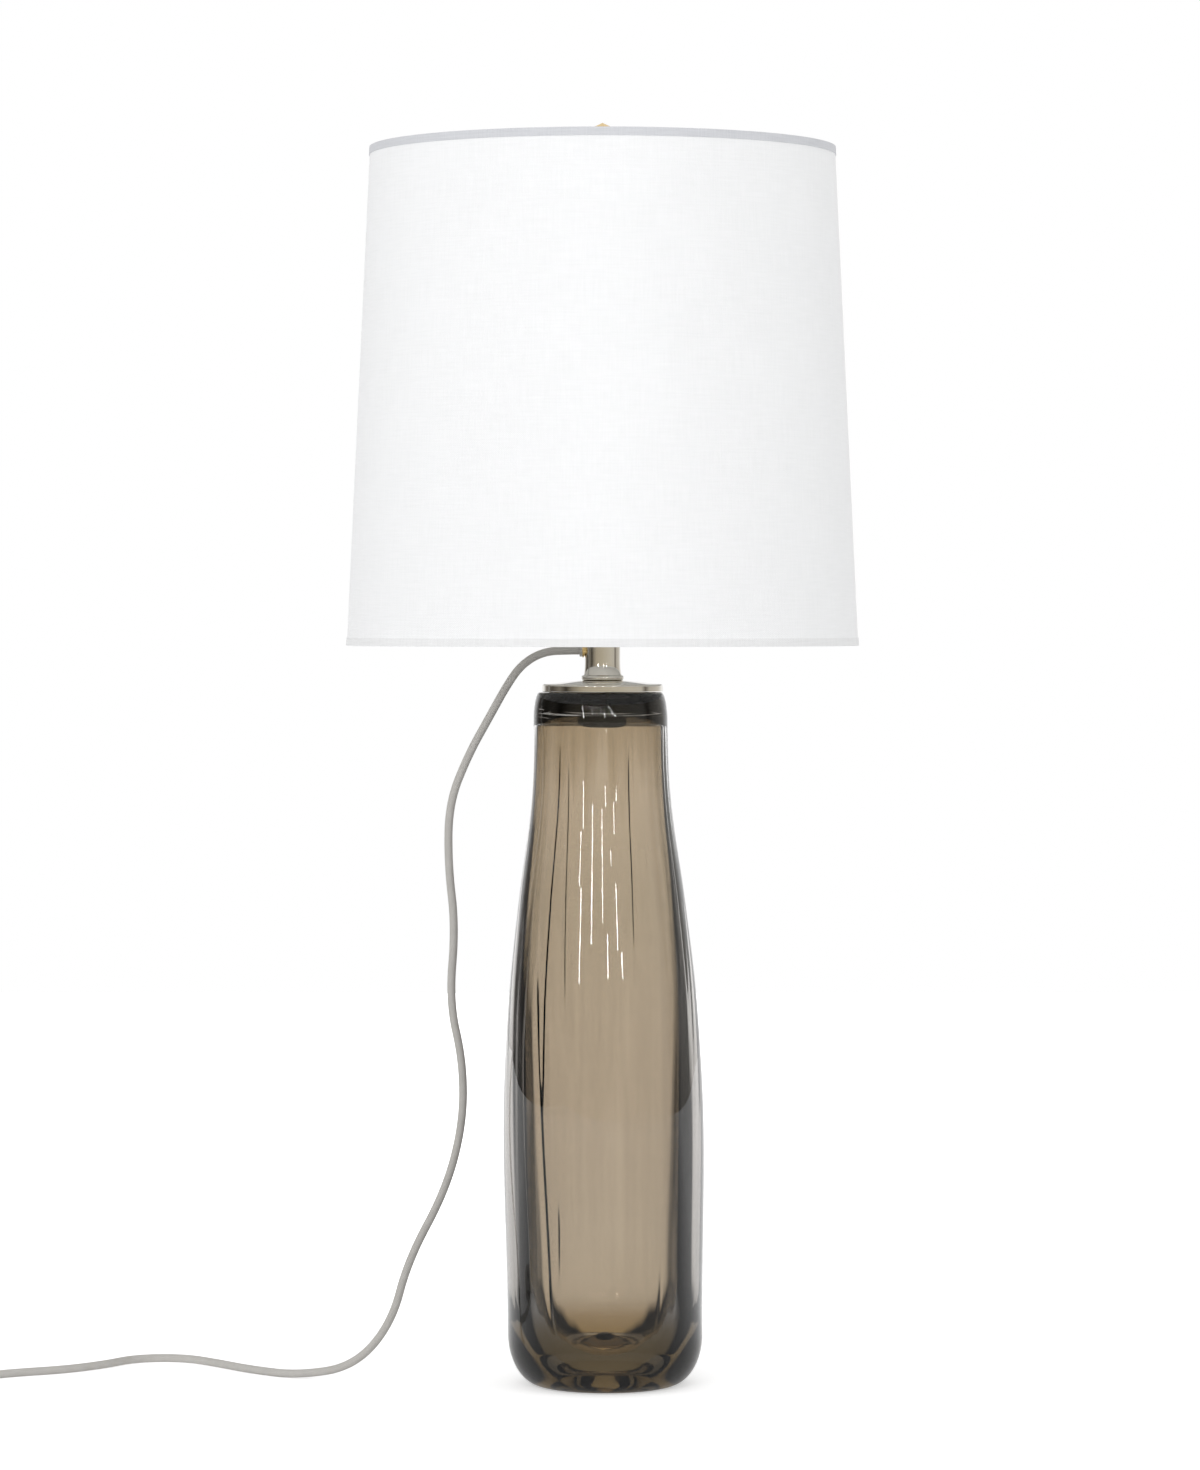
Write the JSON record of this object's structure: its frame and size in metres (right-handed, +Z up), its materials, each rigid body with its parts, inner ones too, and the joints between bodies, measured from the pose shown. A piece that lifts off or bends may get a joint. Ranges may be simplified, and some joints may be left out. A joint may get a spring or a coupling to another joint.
{
  "type": "table lamp",
  "caption": "Table lamp with a heavy smoky glass bottle body, nickel cap and neck, harp, white linen drum shade and a side-entry textile cord with a plug.",
  "frame": {"origin": "middle of the glass foot, on the surface the lamp stands on", "axes": "+Z up along the stem, the front faces -Y, and the cord leaves on the -X side"},
  "size_m": [0.5903, 0.2796, 0.6886],
  "materials": {
    "smoky_glass": "thick polished brown-grey glass",
    "black_rubber": "matt",
    "plated_steel": "satin zinc plate",
    "nickel": "polished nickel plate",
    "harp_nickel": "bright nickel plate",
    "brass": "bright brass",
    "clear_plastic": "clear, slightly milky",
    "holder_brass": "bright drawn brass",
    "card": "pressed card",
    "phenolic": "moulded",
    "frosted_glass": "inside frosted",
    "bulb_aluminium": "rolled",
    "bulb_insulation": "black vitrite",
    "linen": "fine slubbed linen weave",
    "lining": "white sheet",
    "rolled_edge": "linen turned over the wire",
    "wire_insulation": "smooth",
    "cord_braid": "fine grey-beige braid",
    "plug_plastic": "moulded, ivory",
    "blade_brass": "stamped"
  },
  "bodies": {
    "stand": {"glass_body": "smoky_glass", "mouth_plug": "black_rubber", "cap_gasket": "black_rubber", "plug_washer": "plated_steel", "plug_nut": "plated_steel", "saddle_locknut": "plated_steel", "harp_saddle": "plated_steel", "vase_cap": "nickel", "stem_collar": "nickel", "neck_tube": "nickel", "check_ring": "nickel", "harp_frame": "harp_nickel", "harp_stud": "harp_nickel", "lower_pipe": "brass", "upper_pipe": "brass", "neck_lower_bush": "brass", "neck_upper_bush": "brass", "outlet_ring": "brass", "screw_shell": "brass", "centre_contact": "brass", "terminal_screws": "brass", "outlet_lip": "clear_plastic", "holder_cap": "holder_brass", "holder_shell": "holder_brass", "holder_card": "card", "holder_core": "phenolic", "inner_leads": "wire_insulation", "cord": "cord_braid", "cord_coil": "cord_braid", "plug_strain_relief": "plug_plastic", "plug_body": "plug_plastic", "plug_blades": "blade_brass"},
    "sleeve_left": {"harp_sleeve_left": "plated_steel"},
    "sleeve_right": {"harp_sleeve_right": "plated_steel"},
    "knob": {"knob_shaft": "brass", "switch_knob": "phenolic"},
    "bulb": {"bulb_glass": "frosted_glass", "bulb_cap": "bulb_aluminium", "bulb_insulator": "bulb_insulation", "bulb_contact": "brass"},
    "shade": {"shade_linen": "linen", "shade_lining": "lining", "shade_top_trim": "rolled_edge", "shade_bottom_trim": "rolled_edge", "shade_top_ring": "plated_steel", "shade_bottom_ring": "plated_steel", "shade_hub": "plated_steel", "shade_arms": "plated_steel"},
    "finial": {"finial": "brass"}
  },
  "joints": [
    {"name": "sleeve_left_slide", "type": "slide", "parent": "stand", "child": "sleeve_left", "axis": [0, 0, 1], "range_m": [0, 0.013]},
    {"name": "sleeve_right_slide", "type": "slide", "parent": "stand", "child": "sleeve_right", "axis": [0, 0, 1], "range_m": [0, 0.013]},
    {"name": "knob_turn", "type": "hinge", "parent": "stand", "child": "knob", "pos_m": [0, -0.02, 0.4648], "axis": [0, -1, 0], "continuous": true},
    {"name": "bulb_lift", "type": "slide", "parent": "stand", "child": "bulb", "axis": [0, 0, 1], "range_m": [0, 0.024]},
    {"name": "shade_turn", "type": "hinge", "parent": "stand", "child": "shade", "pos_m": [0, 0, 0.6571], "axis": [0, 0, 1], "continuous": true},
    {"name": "finial_lift", "type": "slide", "parent": "stand", "child": "finial", "axis": [0, 0, 1], "range_m": [0, 0.015]}
  ]
}
